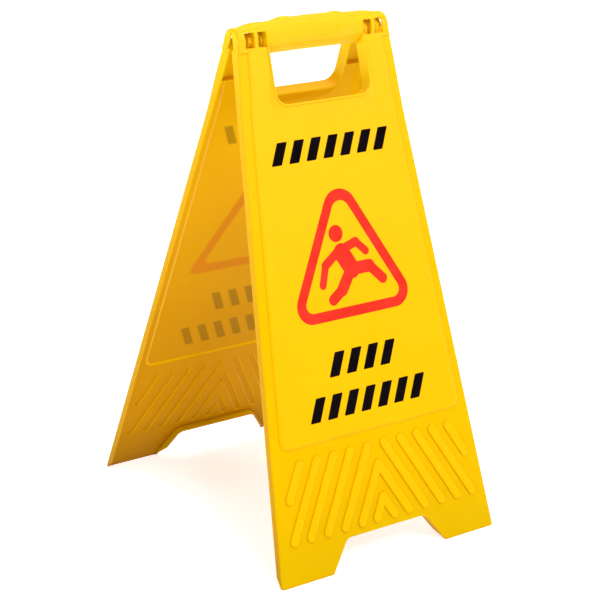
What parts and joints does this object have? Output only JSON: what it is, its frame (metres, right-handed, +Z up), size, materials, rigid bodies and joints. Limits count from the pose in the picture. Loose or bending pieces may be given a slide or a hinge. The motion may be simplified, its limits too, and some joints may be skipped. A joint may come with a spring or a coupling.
{
  "type": "folding floor sign",
  "caption": "Yellow moulded A-frame floor sign that folds flat, with a barrel carrying handle, embossed ribs and plain printed hazard graphics.",
  "frame": {"origin": "on the floor, under the middle of the open sign", "axes": "+X across the sign along the hinge axis, +Y from the front panel to the back panel, +Z up"},
  "size_m": [0.2998, 0.38, 0.5834],
  "materials": {
    "yellow_plastic": "semi-gloss moulded polypropylene",
    "black_ink": "screen-printed ink",
    "red_ink": "screen-printed ink"
  },
  "bodies": {
    "front": {"front_panel": "yellow_plastic", "front_upper_print": "black_ink", "front_ring_print": "red_ink", "front_figure_print": "red_ink", "front_middle_print": "black_ink", "front_lower_print": "black_ink"},
    "back": {"back_panel": "yellow_plastic", "back_upper_print": "black_ink", "back_ring_print": "red_ink", "back_figure_print": "red_ink", "back_middle_print": "black_ink", "back_lower_print": "black_ink"}
  },
  "joints": [
    {"name": "fold", "type": "hinge", "parent": "front", "child": "back", "pos_m": [0, 0, 0.56], "axis": [-1, 0, 0], "range_deg": [0, 35.64]}
  ]
}
